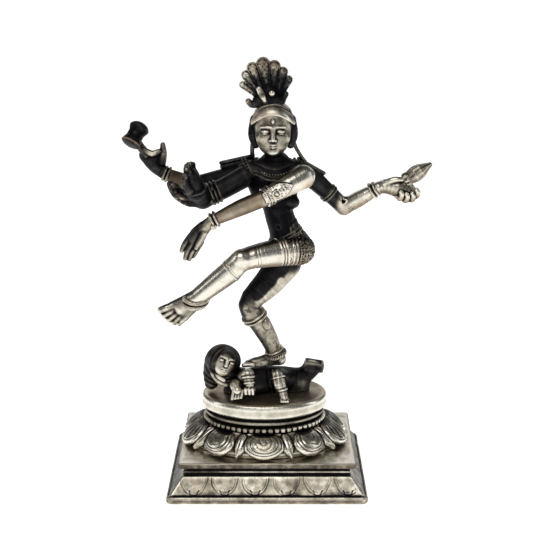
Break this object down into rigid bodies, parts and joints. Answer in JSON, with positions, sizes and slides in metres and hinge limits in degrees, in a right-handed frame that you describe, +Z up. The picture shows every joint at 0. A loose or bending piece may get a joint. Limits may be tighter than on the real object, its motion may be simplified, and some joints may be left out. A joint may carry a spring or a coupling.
{
  "type": "dancing figure statue on lotus pedestal",
  "caption": "Table-top cast statue of a four-armed dancer on a dwarf, set on an oval lotus pedestal and a stepped rectangular plinth.",
  "frame": {"origin": "centre of the flat underside of the plinth", "axes": "+X to the viewer's right across the front, +Y away from the viewer, +Z up"},
  "size_m": [0.1522, 0.075, 0.2142],
  "materials": {
    "polished_plate": "silver-toned plate over brass, polished bright by handling, dark only in the chased lines",
    "worn_plate": "silver-toned plate over brass, dulled grey-brown, rubbed bright on edges",
    "dark_patina": "near-black tarnish with a soft sheen, rubbed bright on the highest points",
    "brass_wear": "plate worn through to brownish-yellow brass",
    "screw_steel": "plain turned steel, hidden inside"
  },
  "bodies": {
    "root": {"plinth_base": "worn_plate", "underside_plate": "worn_plate", "plinth_slab": "worn_plate", "fixing_screw_left": "screw_steel", "fixing_screw_right": "screw_steel", "lotus_pedestal": "polished_plate", "bead_ring": "polished_plate", "oval_platform": "polished_plate", "dwarf_body": "dark_patina", "dwarf_head": "dark_patina", "foot_peg": "screw_steel", "torso": "dark_patina", "head": "worn_plate", "headband": "brass_wear", "hair_fan": "worn_plate", "standing_leg": "dark_patina", "raised_leg": "polished_plate", "left_front_arm": "polished_plate", "left_rear_arm": "polished_plate", "right_front_arm": "dark_patina", "right_rear_arm": "dark_patina", "hand_drum": "dark_patina", "flame_bud": "polished_plate", "forearm_cobra": "dark_patina", "necklace": "brass_wear", "waist_belt": "worn_plate", "right_shoulder_ribbon": "worn_plate", "left_shoulder_ribbon": "worn_plate", "raised_thigh_band": "polished_plate", "raised_knee_band": "polished_plate", "raised_anklet": "polished_plate", "standing_knee_band": "polished_plate", "standing_anklet": "polished_plate", "left_front_armlet": "polished_plate", "left_front_bangle": "polished_plate", "left_rear_armlet": "polished_plate", "left_rear_bangle": "polished_plate", "right_front_armlet": "polished_plate", "right_rear_bangle": "polished_plate"}
  },
  "joints": []
}
